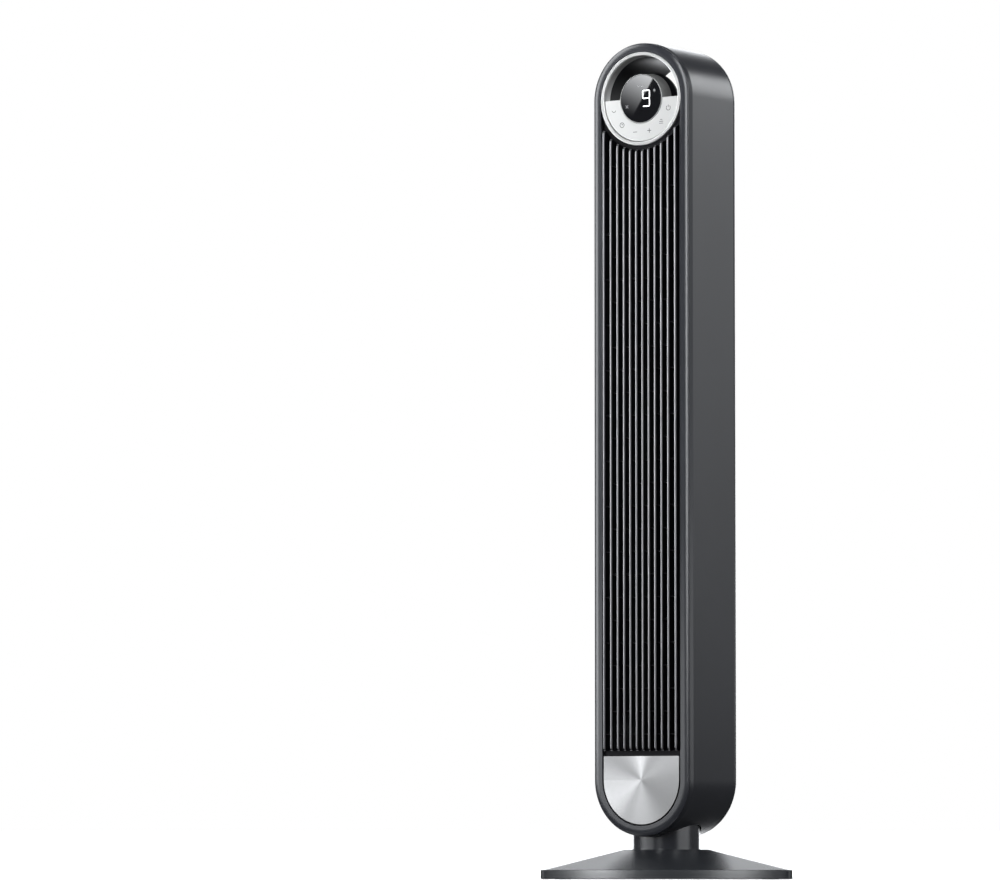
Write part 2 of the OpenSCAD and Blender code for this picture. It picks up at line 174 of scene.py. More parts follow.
soft_box("strip_above", (0.2, 0.5, 3.0), (0.0, 0.0, 1.0), (2.0, 0.6), 8.0)


def new_material(name):
    """A new material, its node tree and its object coordinates."""
    mat = bpy.data.materials.new(name)
    mat.use_nodes = True
    place = add_node(mat.node_tree, "TexCoord", {})
    return mat, mat.node_tree, place.outputs["Object"]


def stage_material():
    """Matt white paint with a very slight mottle that glows a little, more so far away, to
    read as an endless white sweep."""
    mat, tree, place = new_material("studio_floor")
    mottle = add_node(tree, "TexNoise", {"Vector": place, "Scale": 3.0})
    tone = add_ramp(tree, mottle.outputs["Fac"], [(0.0, [0.93] * 3), (1.0, [0.96] * 3)])
    reach = add_node(tree, "VectorMath", {0: place}, operation="LENGTH")
    sweep = add_node(tree, "MapRange", {"Value": reach.outputs["Value"], "From Min": 0.25,
                                        "From Max": 1.6, "To Min": 0.40})
    feed(tree, tree.nodes["Principled BSDF"], {
        "Roughness": 0.9, "Specular IOR Level": 0.0, "Base Color": tone.outputs["Color"],
        "Emission Color": tone.outputs["Color"], "Emission Strength": sweep.outputs["Result"]})
    return mat


FLOOR_HALF = 30.0
floor_mesh = bpy.data.meshes.new("floor")
floor_mesh.from_pydata([(x * FLOOR_HALF, y * FLOOR_HALF, 0.0)
                        for x, y in ((-1, -1), (1, -1), (1, 1), (-1, 1))], [], [(0, 1, 2, 3)])
floor_mesh.materials.append(stage_material())
floor = bpy.data.objects.new("floor", floor_mesh)
floor.visible_glossy = floor.visible_diffuse = False
scene.collection.objects.link(floor)

# ---- square base cover ---------------------------------------------------------------
# One injection-moulded shell, satin charcoal: an upright rim, four flat slopes and a flat
# deck with a round hole for the neck. It is screwed to the flat bottom plate from below.


def rounded(corners, radii, steps=5):
    """Closed outline whose corners are arcs. At each corner the arc touches both sides at
    r / tan(half the corner angle) and its centre is on the bisector at r / sin of it. A
    point is kept just outside each arc end, so the flats beside it shade flat."""
    corners = np.array(corners, float)
    radii = np.broadcast_to(np.array(radii, float), len(corners))
    before, after = np.roll(corners, 1, 0) - corners, np.roll(corners, -1, 0) - corners
    before_len, after_len = np.linalg.norm(before, axis=1), np.linalg.norm(after, axis=1)
    before /= before_len[:, None]
    after /= after_len[:, None]
    half = np.arccos(np.clip((before * after).sum(1), -1, 1)) / 2
    bisector = before + after
    bisector /= np.maximum(np.linalg.norm(bisector, axis=1)[:, None], 1e-9)
    centre = corners + bisector * (radii / np.sin(half))[:, None]
    touch = radii / np.tan(half)
    start = before * touch[:, None] + corners - centre
    end = after * touch[:, None] + corners - centre
    sweep = np.pi - 2 * half
    t = np.linspace(0, 1, steps)[None, :, None]
    s = sweep[:, None, None]
    mix = (np.sin((1 - t) * s) * start[:, None] + np.sin(t * s) * end[:, None]) / np.sin(s)
    free_before = before_len - touch - np.roll(touch, 1)
    free_after = after_len - touch - np.roll(touch, -1)
    past, most = 0.2, 0.3
    lead = touch + np.minimum(past * radii, most * np.maximum(free_before, 0))
    trail = touch + np.minimum(past * radii, most * np.maximum(free_after, 0))
    rows = np.concatenate([(corners + before * lead[:, None])[:, None], centre[:, None] + mix,
                           (corners + after * trail[:, None])[:, None]], 1)
    return rows.reshape(-1, 2)


def grid_faces(rows, cols, close_rows=False, close_cols=False):
    """Quads of a grid numbered row by row; a closed direction joins last to first."""
    r = np.arange(rows if close_rows else rows - 1)[:, None]
    c = np.arange(cols if close_cols else cols - 1)[None, :]
    r2, c2 = (r + 1) % rows, (c + 1) % cols
    quads = np.stack([r * cols + c, r2 * cols + c, r2 * cols + c2, r * cols + c2], -1)
    return quads.reshape(-1, 4)


def shade(mesh, sharp=35.0):
    """Smooth shading, but for edges sharper than the given angle in degrees."""
    mesh.polygons.foreach_set("use_smooth", np.ones(len(mesh.polygons), bool))
    mesh.set_sharp_from_angle(angle=math.radians(sharp))


def add_piece(name, parts, body, material, replaced=(), sharp=35.0):
    """Makes one object from (points, faces) parts, merged, turned outward and smooth but for
    edges sharper than the given angle, then says what it rides on and stands for."""
    points = np.concatenate([p for p, _ in parts])
    counts = np.cumsum([0] + [len(p) for p, _ in parts[:-1]])
    faces = [tuple(int(i) + int(n) for i in f) for (_, fs), n in zip(parts, counts) for f in fs]
    mesh = bpy.data.meshes.new(name)
    mesh.from_pydata(points.tolist(), [], faces)
    work = bmesh.new()
    work.from_mesh(mesh)
    bmesh.ops.remove_doubles(work, verts=work.verts, dist=1e-6)
    bmesh.ops.dissolve_degenerate(work, edges=work.edges, dist=1e-7)
    bmesh.ops.recalc_face_normals(work, faces=work.faces)
    work.to_mesh(mesh)
    work.free()
    shade(mesh, sharp)
    mesh.materials.append(material)
    piece = bpy.data.objects.new(name, mesh)
    scene.collection.objects.link(piece)
    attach(piece, body)
    if replaced:
        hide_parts(*replaced)
    return piece


def moulded_plastic(name, colour, roughness, grain_mm=0.35, grain_height=0.00002,
                    variation=0.12, shine=0.5, metallic=0.0):
    """Injection-moulded plastic: a fine sparked grain in the bump, slow tone variation in
    the colour and slightly uneven gloss. shine 0.5 is bare plastic, and less is duller.
    Metals and metallic paints are made of the same layers, with metallic above 0."""
    mat, tree, place = new_material(name)
    cloud = add_node(tree, "TexNoise", {"Vector": place, "Scale": 9.0, "Detail": 4.0})
    grain = add_node(tree, "TexNoise", {"Vector": place, "Scale": 1000.0 / grain_mm,
                                        "Detail": 2.0})
    tone = add_ramp(tree, cloud.outputs["Fac"], [(0.3, [c * (1 - variation) for c in colour]),
                                                 (0.7, [c * (1 + variation) for c in colour])])
    gloss = add_node(tree, "MapRange", {"Value": cloud.outputs["Fac"],
                                        "To Min": roughness * 0.9, "To Max": roughness * 1.1})
    bump = add_node(tree, "Bump", {"Height": grain.outputs["Fac"], "Strength": 0.35,
                                   "Distance": grain_height})
    feed(tree, tree.nodes["Principled BSDF"], {
        "IOR": 1.5, "Specular IOR Level": shine, "Metallic": metallic,
        "Base Color": tone.outputs["Color"], "Roughness": gloss.outputs["Result"],
        "Normal": bump.outputs["Normal"]})
    return mat


CHARCOAL = (0.019, 0.020, 0.024)
base_plastic = moulded_plastic("base_satin_charcoal", (0.012, 0.013, 0.015), 0.26, shine=0.42)
base_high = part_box("base_cover")[1]
base_half = base_high.x
DECK_Z, DECK_HALF, DECK_CORNER = base_high.z, 0.054, 0.004
RIM_FOOT, RIM_Z, BASE_CORNER = 0.0008, 0.012, 0.008
NECK_R, NECK_GAP, WALL = 0.04275, 0.0003, 0.0025


def square_ring(half, corner, height):
    """Points of a rounded square, counter-clockwise from the right side: quarter arcs of the
    corner radius joined by straight sides cut into equal lengths. A side's first point lies
    a little inside the arc's end, so that the flat beside it shades flat."""
    arc_points, side_points, inside = 9, 13, 0.15
    reach = half - corner
    arc = np.linspace(0, np.pi / 2, arc_points)
    near = reach - inside * corner
    x = np.concatenate([reach + corner * np.cos(arc), np.linspace(near, -near, side_points)])
    y = np.concatenate([reach + corner * np.sin(arc), np.full(side_points, half)])
    rings = []
    for turn_by in np.arange(4) * np.pi / 2:
        c, s = np.cos(turn_by), np.sin(turn_by)
        rings.append(np.stack([x * c - y * s, x * s + y * c], 1))
    flat = np.concatenate(rings)
    return np.column_stack([flat, np.full(len(flat), height)])


def onto_circle(ring, radius, height):
    """Each point of a ring pulled along its own direction onto a circle."""
    flat = ring[:, :2] / np.linalg.norm(ring[:, :2], axis=1)[:, None] * radius
    return np.column_stack([flat, np.full(len(flat), height)])


hole_r = NECK_R + NECK_GAP
outline = rounded(
    [(base_half, RIM_FOOT), (base_half, RIM_Z), (DECK_HALF, DECK_Z), (hole_r, DECK_Z),
     (hole_r, DECK_Z - WALL), (DECK_HALF - 0.001, DECK_Z - WALL),
     (base_half - WALL, RIM_Z - WALL), (base_half - WALL, RIM_FOOT)],
    [0.0004, 0.0007, 0.003, 0.0006, 0.0003, 0.001, 0.0006, 0.0003])
SQUARE_FROM, LEAST_CORNER = DECK_HALF - 0.006, 0.35
rings = []
for reach, height in outline:
    if reach < SQUARE_FROM:
        rings.append(onto_circle(square_ring(DECK_HALF, DECK_CORNER, height), reach, height))
    else:
        share = np.clip((reach - DECK_HALF) / (base_half - DECK_HALF), LEAST_CORNER, 1)
        rings.append(square_ring(reach, BASE_CORNER * share, height))
base_points = np.stack(rings)
base_shell = (base_points.reshape(-1, 3),
              grid_faces(*base_points.shape[:2], close_rows=True, close_cols=True))
cover = add_piece("base_shell", [base_shell], "base", base_plastic,
                  ["base_cover"])

# Two small soft boxes stand low in front of the rim and draw one soft patch each on it.
RIM_BOX_AWAY, RIM_BOX_Z, RIM_BOX_SIZE = 0.20, 0.042, (0.045, 0.08)
RIM_LIT = bpy.data.collections.new("rim_lit")
RIM_LIT.objects.link(cover)
for name, x, brightness in (("rim_box_left", -0.087, 32.0), ("rim_box_right", 0.090, 19.0)):
    rim_box = soft_box(name, (x, -base_half - RIM_BOX_AWAY, RIM_BOX_Z), (x, 0.0, RIM_BOX_Z),
                       RIM_BOX_SIZE, brightness)
    rim_box.light_linking.receiver_collection = RIM_LIT

# ---- neck ----------------------------------------------------------------------------
# The fixed neck is a turned-looking moulded tube between base and tower, in the same
# charcoal but glossier. Its foot flange is screwed up under the deck.


def lathe(profile, steps=96):
    """A closed (radius, height) outline turned about Z: x = r cos a, y = r sin a."""
    profile = np.asarray(profile, float)
    a = np.linspace(0, 2 * np.pi, steps, endpoint=False)[None, :]
    r, z = profile[:, 0][:, None], profile[:, 1][:, None]
    points = np.stack([r * np.cos(a), r * np.sin(a), z + 0 * a], -1)
    return (points.reshape(-1, 3),
            grid_faces(len(profile), steps, close_rows=True, close_cols=True))


neck_low, neck_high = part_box("neck")
neck_plastic = moulded_plastic("neck_gloss_charcoal", CHARCOAL, 0.25, variation=0.08)
NECK_IN = NECK_R - 0.00325
FLOOR_Z, FLOOR_T, JOURNAL_R = 0.058, 0.003, 0.012
BOSS_R, BOSS_Z = 0.017, neck_low.z + 0.009
FLANGE_R, FLANGE_Z = 0.052, 0.0344
neck_outline = rounded(
    [(JOURNAL_R, BOSS_Z), (BOSS_R, BOSS_Z), (BOSS_R, FLOOR_Z), (NECK_IN, FLOOR_Z),
     (NECK_IN, neck_low.z), (FLANGE_R, neck_low.z), (FLANGE_R, FLANGE_Z), (NECK_R, FLANGE_Z),
     (NECK_R, neck_high.z), (NECK_IN, neck_high.z), (NECK_IN, FLOOR_Z + FLOOR_T),
     (JOURNAL_R, FLOOR_Z + FLOOR_T)], 0.0004)
add_piece("neck_tube", [lathe(neck_outline)], "base", neck_plastic, ["neck"])

# ---- tower frame of reference ----------------------------------------------------------
# The tower stands turned about the swing axis. Its pieces are worked out square to it, x
# to its right and y to its back, and then turned by the angle of the motor pinion's place.
pinion_at = next(j for j in frame["joints"] if j["name"] == "pinion_spin")["pos_m"]
TURN = math.atan2(pinion_at[1], pinion_at[0]) - math.pi / 2


def turned(points, angle=TURN):
    """Points turned about the Z axis."""
    points = np.asarray(points, float)
    c, s = math.cos(angle), math.sin(angle)
    return np.stack([points[..., 0] * c - points[..., 1] * s,
                     points[..., 0] * s + points[..., 1] * c, points[..., 2]], -1)


def tower_box(node):
    """A CAD node's lowest and highest corners, square to the tower."""
    co = np.empty(len(frame["nodes"][node].data.vertices) * 3)
    frame["nodes"][node].data.vertices.foreach_get("co", co)
    co = turned(co.reshape(-1, 3), -TURN)
    return co.min(0), co.max(0)


# ---- main housing ----------------------------------------------------------------------
# The flank, crown and underside of the tower are one deep moulded band in satin charcoal,
# rolled in at the front to a shadow groove. The neck comes up through a round hole.
house_low, house_high = tower_box("main_housing")
END_R = house_high[0]
TOP_C, LOW_C = house_high[2] - END_R, house_low[2] + END_R
shell_plastic = moulded_plastic("shell_satin_charcoal", CHARCOAL, 0.30)


def stadium_path():
    """The stadium's centre height and outward direction at each station, from the right
    side over the crown, down the left and round the foot, back to the start."""
    arc_steps, side_steps = 72, 10
    half_turn = np.linspace(0, np.pi, arc_steps)
    rise = np.linspace(TOP_C, LOW_C, side_steps + 1)[1:-1]
    angle = np.concatenate([half_turn, np.full(len(rise), np.pi), half_turn + np.pi,
                            np.full(len(rise), 2 * np.pi)])
    height = np.concatenate([np.full(arc_steps, TOP_C), rise, np.full(arc_steps, LOW_C),
                             rise[::-1]])
    return height, np.cos(angle), np.sin(angle)


def stadium_band(profile, inner=None):
    """A closed (distance out, depth) outline carried round the stadium. inner, where given,
    is the least distance out at each station."""
    height, dir_x, dir_z = stadium_path()
    out = np.repeat(np.asarray(profile)[None, :, 0], len(height), 0)
    depth = np.repeat(np.asarray(profile)[None, :, 1], len(height), 0)
    if inner is not None:
        out = np.maximum(out, inner[:, None])
    points = np.stack([out * dir_x[:, None], depth, height[:, None] + out * dir_z[:, None]], -1)
    return (turned(points).reshape(-1, 3),
            grid_faces(*points.shape[:2], close_rows=True, close_cols=True))


def cut_neck_hole(piece, top):
    """Bores a piece along the swing axis, from under the tower up to top, with a boolean
    and keeps the result as its mesh."""
    radius, low, steps = NECK_R + 0.00175, 0.04, 96
    cutter_mesh = bpy.data.meshes.new("cutter")
    points, faces = lathe([(radius, low), (radius, top)], steps)
    rows = [tuple(int(i) for i in f) for f in faces[:steps]]
    rows += [tuple(range(steps))[::-1], tuple(range(steps, 2 * steps))]
    cutter_mesh.from_pydata(points.tolist(), [], rows)
    work = bmesh.new()
    work.from_mesh(cutter_mesh)
    bmesh.ops.recalc_face_normals(work, faces=work.faces)
    work.to_mesh(cutter_mesh)
    work.free()
    cutter = bpy.data.objects.new("cutter", cutter_mesh)
    scene.collection.objects.link(cutter)
    bore = piece.modifiers.new("bore", "BOOLEAN")
    bore.operation, bore.solver, bore.object = "DIFFERENCE", "EXACT", cutter
    depsgraph = bpy.context.evaluated_depsgraph_get()
    cut = bpy.data.meshes.new_from_object(piece.evaluated_get(depsgraph))
    piece.modifiers.clear()
    piece.data = cut
    bpy.data.objects.remove(cutter)
    shade(cut)


GROOVE_Y = -0.0554
HOUSING_HOLE_TOP, END_HOLE_TOP = 0.08, 0.068
house_outline = rounded(
    [(END_R - WALL, GROOVE_Y), (END_R - 0.0015, GROOVE_Y), (END_R, GROOVE_Y + 0.0062),
     (END_R, house_high[1]), (END_R - WALL, house_high[1])],
    [0.0001, 0.0008, 0.006, 0.0003, 0.0003], steps=7)
housing = add_piece("housing_band", [stadium_band(house_outline)], "tower", shell_plastic,
                    ["main_housing"])
cut_neck_hole(housing, HOUSING_HOLE_TOP)

# ---- front bezel -----------------------------------------------------------------------
# A separate moulded frame clipped into the front of the housing. Its outer edge is rolled,
# its flat lip runs round the slats, and it is cut wider where the silver ring sits.
bezel_low, bezel_high = tower_box("front_bezel")
FRONT_Y = bezel_low[1]
BEZEL_IN = 0.0582
ring_low, ring_high = tower_box("dial_ring")
RING_R = ring_high[0]
bezel_plastic = moulded_plastic("bezel_satin_charcoal", CHARCOAL, 0.25, variation=0.08,
                                shine=0.42)
ROLL_IN, ROLL_OUT, ROLL_R = 0.0630, 0.0708, 0.0170
roll_x = np.linspace(ROLL_IN, ROLL_OUT, 14)
roll = np.column_stack([roll_x, FRONT_Y + ROLL_R - np.sqrt(ROLL_R ** 2 - (roll_x - ROLL_IN) ** 2)])
roll_end = roll[-1, 1]
tuck_x, lip_back = END_R - WALL - 0.0001, FRONT_Y + 0.0036
behind = rounded(
    [(ROLL_OUT + 0.0004, roll_end + 0.0004), (ROLL_OUT + 0.0002, roll_end + 0.0018),
     (tuck_x, roll_end + 0.0026), (tuck_x, bezel_high[1]), (tuck_x - 0.002, bezel_high[1]),
     (tuck_x - 0.002, lip_back), (BEZEL_IN, lip_back), (BEZEL_IN, FRONT_Y),
     (ROLL_IN - 0.0005, FRONT_Y)],
    [0.0004, 0.0004, 0.0003, 0.0003, 0.0003, 0.0005, 0.0004, 0.0007, 0.0], steps=6)
bezel_outline = np.concatenate([roll, behind])
path_z, _, path_dz = stadium_path()
ring_gap = RING_R + 0.0002
beside = np.sqrt(np.maximum(ring_gap ** 2 - (path_z - TOP_C) ** 2, 0))
bezel_inner = np.where(path_dz > 1e-6, np.where(path_z > LOW_C + 1e-6, ring_gap, 0), beside)
bezel = add_piece("bezel_frame", [stadium_band(bezel_outline, bezel_inner)], "tower",
                  bezel_plastic, ["front_bezel"])
cut_neck_hole(bezel, END_HOLE_TOP)

# ---- grille frame ----------------------------------------------------------------------
# A flat black moulding behind the bezel lip: a crescent collar under the dial, two side
# rails and a solid panel below the slats that the trim plate is stuck to.
FACE_Y = FRONT_Y + 0.004
BACK_OF_FACE = FACE_Y + 0.003
FRAME_R = BEZEL_IN - 0.0002
WINDOW_X, WINDOW_Z, ARC_R = 0.0562, 0.163, 0.0665
grille_plastic = moulded_plastic("grille_black", (0.004, 0.004, 0.005), 0.5, variation=0.1,
                                 shine=0.08)


def skin(points, closed=False):
    """Walls over a stack of closed outlines, as points (row, corner, xyz) square to the
    tower, with a cap at each end unless the stack closes on itself; turned into place."""
    rows, n = points.shape[:2]
    flat = turned(points).reshape(-1, 3)
    parts = [(flat, grid_faces(rows, n, close_rows=closed, close_cols=True))]
    if not closed:
        parts.append((flat, np.array([np.arange(n), (rows - 1) * n + np.arange(n)])))
    return parts


def slab(outline, depths, insets=(0, 0)):
    """A flat closed outline (x, z) given thickness: one copy at each depth, drawn in by its
    inset along the outline's own normals, joined by side walls and capped at both ends."""
    outline = np.asarray(outline, float)
    ahead = np.roll(outline, -1, 0) - np.roll(outline, 1, 0)
    normal = np.stack([ahead[:, 1], -ahead[:, 0]], 1)
    normal /= np.linalg.norm(normal, axis=1)[:, None]
    rows = [outline - normal * inset for inset in insets]
    return skin(np.stack([np.column_stack([row[:, 0], np.full(len(row), depth), row[:, 1]])
                          for row, depth in zip(rows, depths)]))


def arc(centre, radius, start, end, steps=48):
    """Points (x, z) on a circle between two angles in degrees."""
    a = np.radians(np.linspace(start, end, steps))
    return np.stack([centre[0] + radius * np.cos(a), centre[1] + radius * np.sin(a)], 1)


collar_a = np.radians(np.linspace(180, 360, 97))
collar_out = np.minimum(ARC_R, FRAME_R / np.maximum(np.abs(np.cos(collar_a)), 1e-6))
collar_in = np.full_like(collar_out, RING_R - 0.0028)
collar_rows = [(collar_in, FACE_Y), (collar_out - 0.0004, FACE_Y), (collar_out, FACE_Y + 0.0005),
               (collar_out, BACK_OF_FACE), (collar_in, BACK_OF_FACE)]
collar = np.stack([np.stack([r * np.cos(collar_a), np.full_like(r, y),
                             TOP_C + r * np.sin(collar_a)], -1) for r, y in collar_rows], 1)
grille_parts = skin(collar)
RAIL_LOW, RAIL_TOP = WINDOW_Z - 0.002, TOP_C - 0.02
for side in (-1, 1):
    rail = np.array([(WINDOW_X, RAIL_LOW), (FRAME_R, RAIL_LOW), (FRAME_R, RAIL_TOP),
                     (WINDOW_X, RAIL_TOP - 0.008)]) * (side, 1)
    grille_parts += slab(rail[::side], [FACE_Y, BACK_OF_FACE])
foot_panel = np.concatenate([arc((0, LOW_C), FRAME_R, 180, 360),
                             [(FRAME_R, WINDOW_Z), (-FRAME_R, WINDOW_Z)]])
grille_parts += slab(foot_panel, [FACE_Y, BACK_OF_FACE])
add_piece("grille_frame", grille_parts, "tower", grille_plastic,
          ["front_grille"])

# ---- front slats -----------------------------------------------------------------------
# Twelve upright fins moulded with the frame, deep and thin, closer together in the middle.
# They stand proud of the bezel and each ends in a rounded nose under the dial.
SLATS, SLAT_W = 12, 0.0018
SLAT_TIP = tower_box("front_grille")[0][1]
SLAT_BACK = SLAT_TIP + 0.015
FAN_POINT, STEP_DEG = 0.1247, 4.23
slat_x = FAN_POINT * np.tan(np.radians((np.arange(SLATS) - (SLATS - 1) / 2) * STEP_DEG))
slat_top = TOP_C - np.sqrt(ARC_R ** 2 - slat_x ** 2)
NOSE = 0.0045
slat_plastic = moulded_plastic("slat_black", (0.003, 0.003, 0.004), 0.36, variation=0.1,
                               shine=0.1)
# The light grey metallic strip on each fin's rounded front is a painted highlight: the line of
# light that the black noses catch.
painted_edge_highlight = moulded_plastic("slat_edge_painted_highlight", (0.26, 0.26, 0.27), 0.32, variation=0.06,
                             metallic=0.6)


def fin(x, low, high, tip, back, width, nose):
    """An upright fin: a round-fronted section whose front falls back along a quarter circle
    of the nose radius at both ends."""
    bend = np.linspace(0, np.pi / 2, 7)
    z = np.concatenate([low + nose * (1 - np.cos(bend)), high - nose * (1 - np.cos(bend[::-1]))])
    fall = np.concatenate([nose * (1 - np.sin(bend)), nose * (1 - np.sin(bend[::-1]))])
    a = np.linspace(np.pi, 2 * np.pi, 9)
    across = np.concatenate([width / 2 * np.cos(a), [width / 2, -width / 2]])
    front = np.concatenate([width / 2 * (1 + np.sin(a)), [0, 0]])
    depth = tip + front[None, :] + fall[:, None]
    depth[:, -2:] = back
    return skin(np.stack([x + across + 0 * depth, depth, z[:, None] + 0 * depth], -1))


fins, edges = [], []
for x, high in zip(slat_x, slat_top):
    fins += fin(x, WINDOW_Z - 0.001, high + 0.001, SLAT_TIP + 0.0002, SLAT_BACK, SLAT_W, NOSE)
    # Thin shells over the fin noses that carry the painted highlight.
    edges += fin(x, WINDOW_Z - 0.0006, high + 0.0006, SLAT_TIP, SLAT_TIP + 0.0026,
                 SLAT_W + 0.0002, NOSE)
add_piece("front_slats", fins, "tower", slat_plastic, ["front_grille"])
add_piece("slat_nose_highlights", edges, "tower", painted_edge_highlight)

# ---- slat ribs -------------------------------------------------------------------------
# Short cross ribs tie each slat to its neighbour so fingers can't spread them. The rows
# are evenly spaced and every other row starts one gap over, like brickwork.
RIB_ROWS, RIB_Z, RIB_PITCH = 26, 0.183, 0.02905
RIB_H, RIB_TIP, RIB_BACK = 0.0016, FRONT_Y - 0.001, FRONT_Y + 0.007
section = np.array([(RIB_BACK, -1), (RIB_TIP + 0.0006, -1), (RIB_TIP, -0.4), (RIB_TIP, 0.4),
                    (RIB_TIP + 0.0006, 1), (RIB_BACK, 1)])
ribs = []
for row in range(RIB_ROWS):
    side = np.column_stack([section[:, 0], RIB_Z + row * RIB_PITCH + section[:, 1] * RIB_H / 2])
    for gap in range(row % 2, SLATS - 1, 2):
        if RIB_Z + row * RIB_PITCH < min(slat_top[gap:gap + 2]) - 0.002:
            ribs += skin(np.stack([np.column_stack([np.full(len(section), x), side])
                                   for x in slat_x[gap:gap + 2]]))
add_piece("slat_ribs", ribs, "tower", slat_plastic)

# ---- trim plate ------------------------------------------------------------------------
# A plain 2 mm aluminium plate with a flat top and half-round foot, stuck to the grille
# panel. Its face is spun about the half-round's centre, which leaves fine circular lines.
plate_low, plate_high = tower_box("trim_plate")
PLATE_R = plate_high[0]


def spun_aluminium(name, centre, painted_rays):
    """Aluminium spun about a centre: fine circular grooves in tone, bump and roughness, and a
    highlight drawn out along the radius by a tangent that runs round the centre. Lighter and
    darker rays of painted reflection, as (clock angle, tone) pairs, are multiplied into its
    colour."""
    mat, tree, place = new_material(name)
    arm = add_node(tree, "VectorMath", {0: place, 1: centre}, operation="SUBTRACT")
    arm = arm.outputs["Vector"]
    radius = add_node(tree, "VectorMath", {0: arm}, operation="LENGTH")
    facing = add_node(tree, "NewGeometry", {})
    around = add_node(tree, "VectorMath", {0: facing.outputs["Normal"], 1: arm},
                      operation="CROSS_PRODUCT")
    lines = add_node(tree, "TexNoise", {"W": radius.outputs["Value"], "Scale": 2600.0,
                                        "Detail": 3.0}, noise_dimensions="1D")
    lines = lines.outputs["Fac"]
    polish = add_node(tree, "MapRange", {"Value": lines, "To Min": 0.15, "To Max": 0.24})
    tint = add_ramp(tree, lines, [(0.3, (0.84, 0.84, 0.85)), (0.7, (1.0, 1.0, 1.0))])
    square = add_node(tree, "VectorRotate", {"Vector": arm, "Angle": -TURN},
                      rotation_type="Z_AXIS")
    split = add_node(tree, "SeparateXYZ", {"Vector": square.outputs["Vector"]})
    flat = add_node(tree, "CombineXYZ", {"X": split.outputs["X"], "Y": split.outputs["Z"]})
    clock = add_node(tree, "TexGradient", {"Vector": flat.outputs["Vector"]},
                     gradient_type="RADIAL")
    stops = sorted((((angle + 180) % 360) / 360, (tone,) * 3) for angle, tone in painted_rays)
    painted_reflection = add_ramp(tree, clock.outputs["Fac"], stops)
    painted_reflection.color_ramp.interpolation = "B_SPLINE"
    # The colour is the grooves' tone times the painted reflection rays.
    shade = add_node(tree, "Mix", {"Factor": 1.0, "A": tint.outputs["Color"],
                                   "B": painted_reflection.outputs["Color"]},
                     data_type="RGBA", blend_type="MULTIPLY")
    bump = add_node(tree, "Bump", {"Height": lines, "Strength": 0.25, "Distance": 0.00002})
    feed(tree, tree.nodes["Principled BSDF"], {
        "Metallic": 1.0, "Anisotropic": 0.92, "Roughness": polish.outputs["Result"],
        "Base Color": shade.outputs["Result"], "Normal": bump.outputs["Normal"],
        "Tangent": around.outputs["Vector"]})
    return mat


# Painted reflection: lighter and darker rays round the plate's centre, as (clock angle, tone).
PAINTED_REFLECTION_RAYS = [(-178, 0.36), (-150, 0.37), (-128, 0.22), (-114, 0.15), (-95, 0.19), (-76, 0.20),
           (-48, 0.13), (-20, 0.18), (8, 0.20), (30, 0.23), (52, 0.14), (70, 0.15), (82, 0.25),
           (97, 0.29), (110, 0.23), (128, 0.20), (150, 0.18), (170, 0.32)]
plate_centre = turned(np.array([0.0, FRONT_Y, LOW_C]))
plate_metal = spun_aluminium("trim_spun_aluminium", tuple(plate_centre), PAINTED_REFLECTION_RAYS)
TIP_R, EDGE_R = 0.001, 0.0003
tip_x, tip_z = PLATE_R - TIP_R, plate_high[2] - TIP_R
plate_outline = np.concatenate([arc((0, LOW_C), PLATE_R, 180, 360, 96),
                                arc((tip_x, tip_z), TIP_R, 0, 90, 5),
                                arc((-tip_x, tip_z), TIP_R, 90, 180, 5)])
add_piece("trim_face", slab(plate_outline, [plate_high[1], plate_low[1] + 0.0004, plate_low[1]],
                            [0, 0, EDGE_R]),
          "tower", plate_metal, ["trim_plate"], sharp=50)

# ---- silver dial ring ------------------------------------------------------------------
# A turned ring with a short sleeve behind it lines the mouth of the hand hole. It is
# moulded plastic with a satin silver paint.


def turned_on_y(profile, x, z, start=0.0, end=360.0, steps=144):
    """A closed (radius, depth) outline turned about a line along the tower's depth through
    (x, z): out by r cos a across and r sin a up. Less than a full turn is capped."""
    profile = np.asarray(profile, float)
    full = end - start >= 360.0
    a = np.radians(np.linspace(start, end, steps, endpoint=not full))[:, None]
    r, y = profile[:, 0][None, :], profile[:, 1][None, :]
    return skin(np.stack([x + r * np.cos(a), y + 0 * a, z + r * np.sin(a)], -1), closed=full)


def silver_paint(name, tone, roughness, metallic=0.75):
    """Satin metallic paint: tiny flakes vary its brightness and gloss."""
    return moulded_plastic(name, (tone, tone, tone * 0.985), roughness, grain_mm=0.12,
                           grain_height=0.000008, variation=0.03, metallic=metallic)


HAND_R = 0.0548
ring_paint = silver_paint("ring_satin_silver", 0.50, 0.30)
ring_front, sleeve_front, SLEEVE_R = ring_low[1], ring_low[1] + 0.0033, 0.057
ring_outline = rounded(
    [(HAND_R, ring_front + 0.0030), (HAND_R + 0.0009, ring_front), (RING_R, ring_front),
     (RING_R, sleeve_front), (SLEEVE_R, sleeve_front), (SLEEVE_R, ring_high[1]),
     (HAND_R, ring_high[1])],
    [0.0010, 0.0010, 0.0008, 0.0002, 0.0003, 0.0002, 0.0002])
add_piece("dial_trim_ring", turned_on_y(ring_outline, 0, TOP_C), "tower", ring_paint,
          ["dial_ring"])

# ---- hand hole liner -------------------------------------------------------------------
# The black tunnel behind the ring makes the top a carrying handle: a half-round roof and a
# flat floor, open right through, with a notch for the display pod and a narrow shelf that
# runs forward to the touch panel. It is clipped between the ring and the rear cover.
liner_high = tower_box("handle_liner")[1]
LINER_R = liner_high[0]
POD_WIDE = 0.0357
liner_plastic = moulded_plastic("liner_black", (0.005, 0.005, 0.0065), 0.36, variation=0.1,
                                shine=0.18)
ROOF_Y = FRONT_Y + 0.0146


def rectangle(x0, y0, x1, y1, corner, steps=5):
    """The outline of a rectangle between two opposite corners, with rounded corners."""
    return rounded([(x0, y0), (x1, y0), (x1, y1), (x0, y1)], corner, steps)


